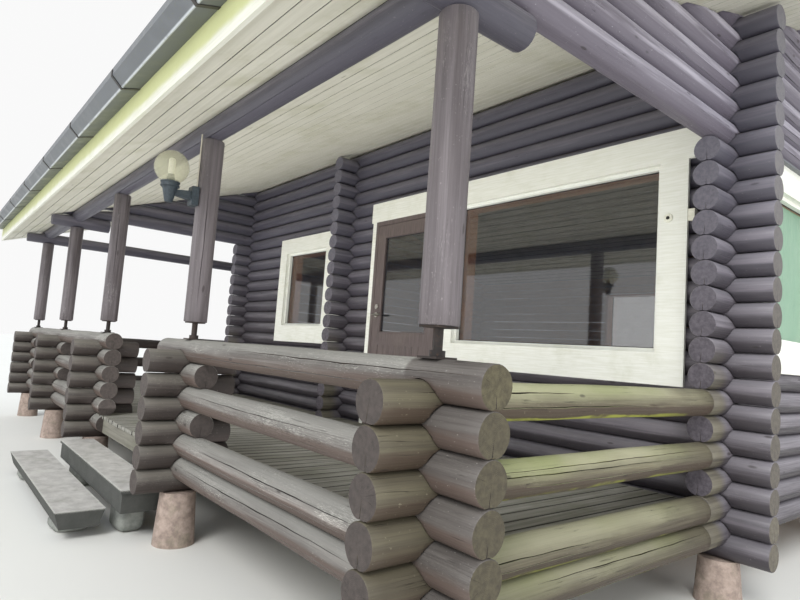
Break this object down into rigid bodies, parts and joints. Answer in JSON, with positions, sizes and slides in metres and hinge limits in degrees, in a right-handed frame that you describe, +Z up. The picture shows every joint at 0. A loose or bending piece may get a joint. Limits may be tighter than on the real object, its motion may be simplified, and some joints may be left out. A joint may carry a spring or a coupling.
{
  "type": "log cabin",
  "caption": "Round-log cabin with a railed front porch, a roofed open side bay, a wide low-pitched gable roof, a hinged entry door and front steps.",
  "frame": {"origin": "centre of the bounding box at ground level", "axes": "+X along the front towards the end with the side rail beside the large window, +Y from the porch into the house, +Z up"},
  "size_m": [10.014, 8.892, 4.3067],
  "materials": {
    "dark_log": "weathered brown stain",
    "rail_log": "flaking brown stain over grey wood",
    "brown_steel": "brown paint",
    "deck_wood": "weathered grey-green",
    "floor_wood": "plain boards",
    "concrete": "weathered concrete",
    "field_stone": "rough stone",
    "ceiling_paint": "faded off-white paint",
    "roof_felt": "mineral felt",
    "cream_paint": "cream paint with green bloom",
    "gutter_steel": "dark grey coating",
    "white_paint": "off-white paint",
    "window_glass": "clear",
    "brown_paint": "dark brown paint",
    "bright_metal": "satin",
    "lamp_plastic": "dark grey-green",
    "lamp_glass": "smoky",
    "cable_white": "off-white sheath"
  },
  "bodies": {
    "cabin": {"back_rail": "rail_log", "ceiling_boards_front": "ceiling_paint", "ceiling_boards_rear": "ceiling_paint", "cross_beams": "dark_log", "deck_boards": "deck_wood", "door_frame": "brown_paint", "fascias": "cream_paint", "floor_frames": "floor_wood", "front_rails": "rail_log", "front_wall": "dark_log", "gutter_brackets": "gutter_steel", "gutters": "gutter_steel", "hinge_pins": "bright_metal", "house_floor": "floor_wood", "lamp_bracket": "lamp_plastic", "lamp_cable": "cable_white", "lamp_globe": "lamp_glass", "left_gable": "dark_log", "left_wall": "dark_log", "lower_step": "concrete", "main_beam": "dark_log", "partition_log_ends": "dark_log", "piers": "concrete", "post_jacks": "brown_steel", "posts": "dark_log", "rail_wings": "rail_log", "rake_boards": "cream_paint", "rear_wall": "dark_log", "ridge_beam": "dark_log", "ridge_cap": "roof_felt", "right_gable": "dark_log", "right_wall": "dark_log", "roof_front": "roof_felt", "roof_rear": "roof_felt", "side_rail_left": "rail_log", "side_rail_right": "rail_log", "step_stones": "field_stone", "upper_step": "concrete", "window_frames": "white_paint", "window_panes": "window_glass", "window_trims": "white_paint"},
    "door": {"door_leaf": "brown_paint", "door_glass": "window_glass", "door_handles": "bright_metal", "hinge_barrels": "bright_metal"}
  },
  "joints": [
    {"name": "entry_door", "type": "hinge", "parent": "cabin", "child": "door", "pos_m": [1.8925, -1.479, 1.585], "axis": [0, 0, 1], "range_deg": [0, 100]}
  ]
}
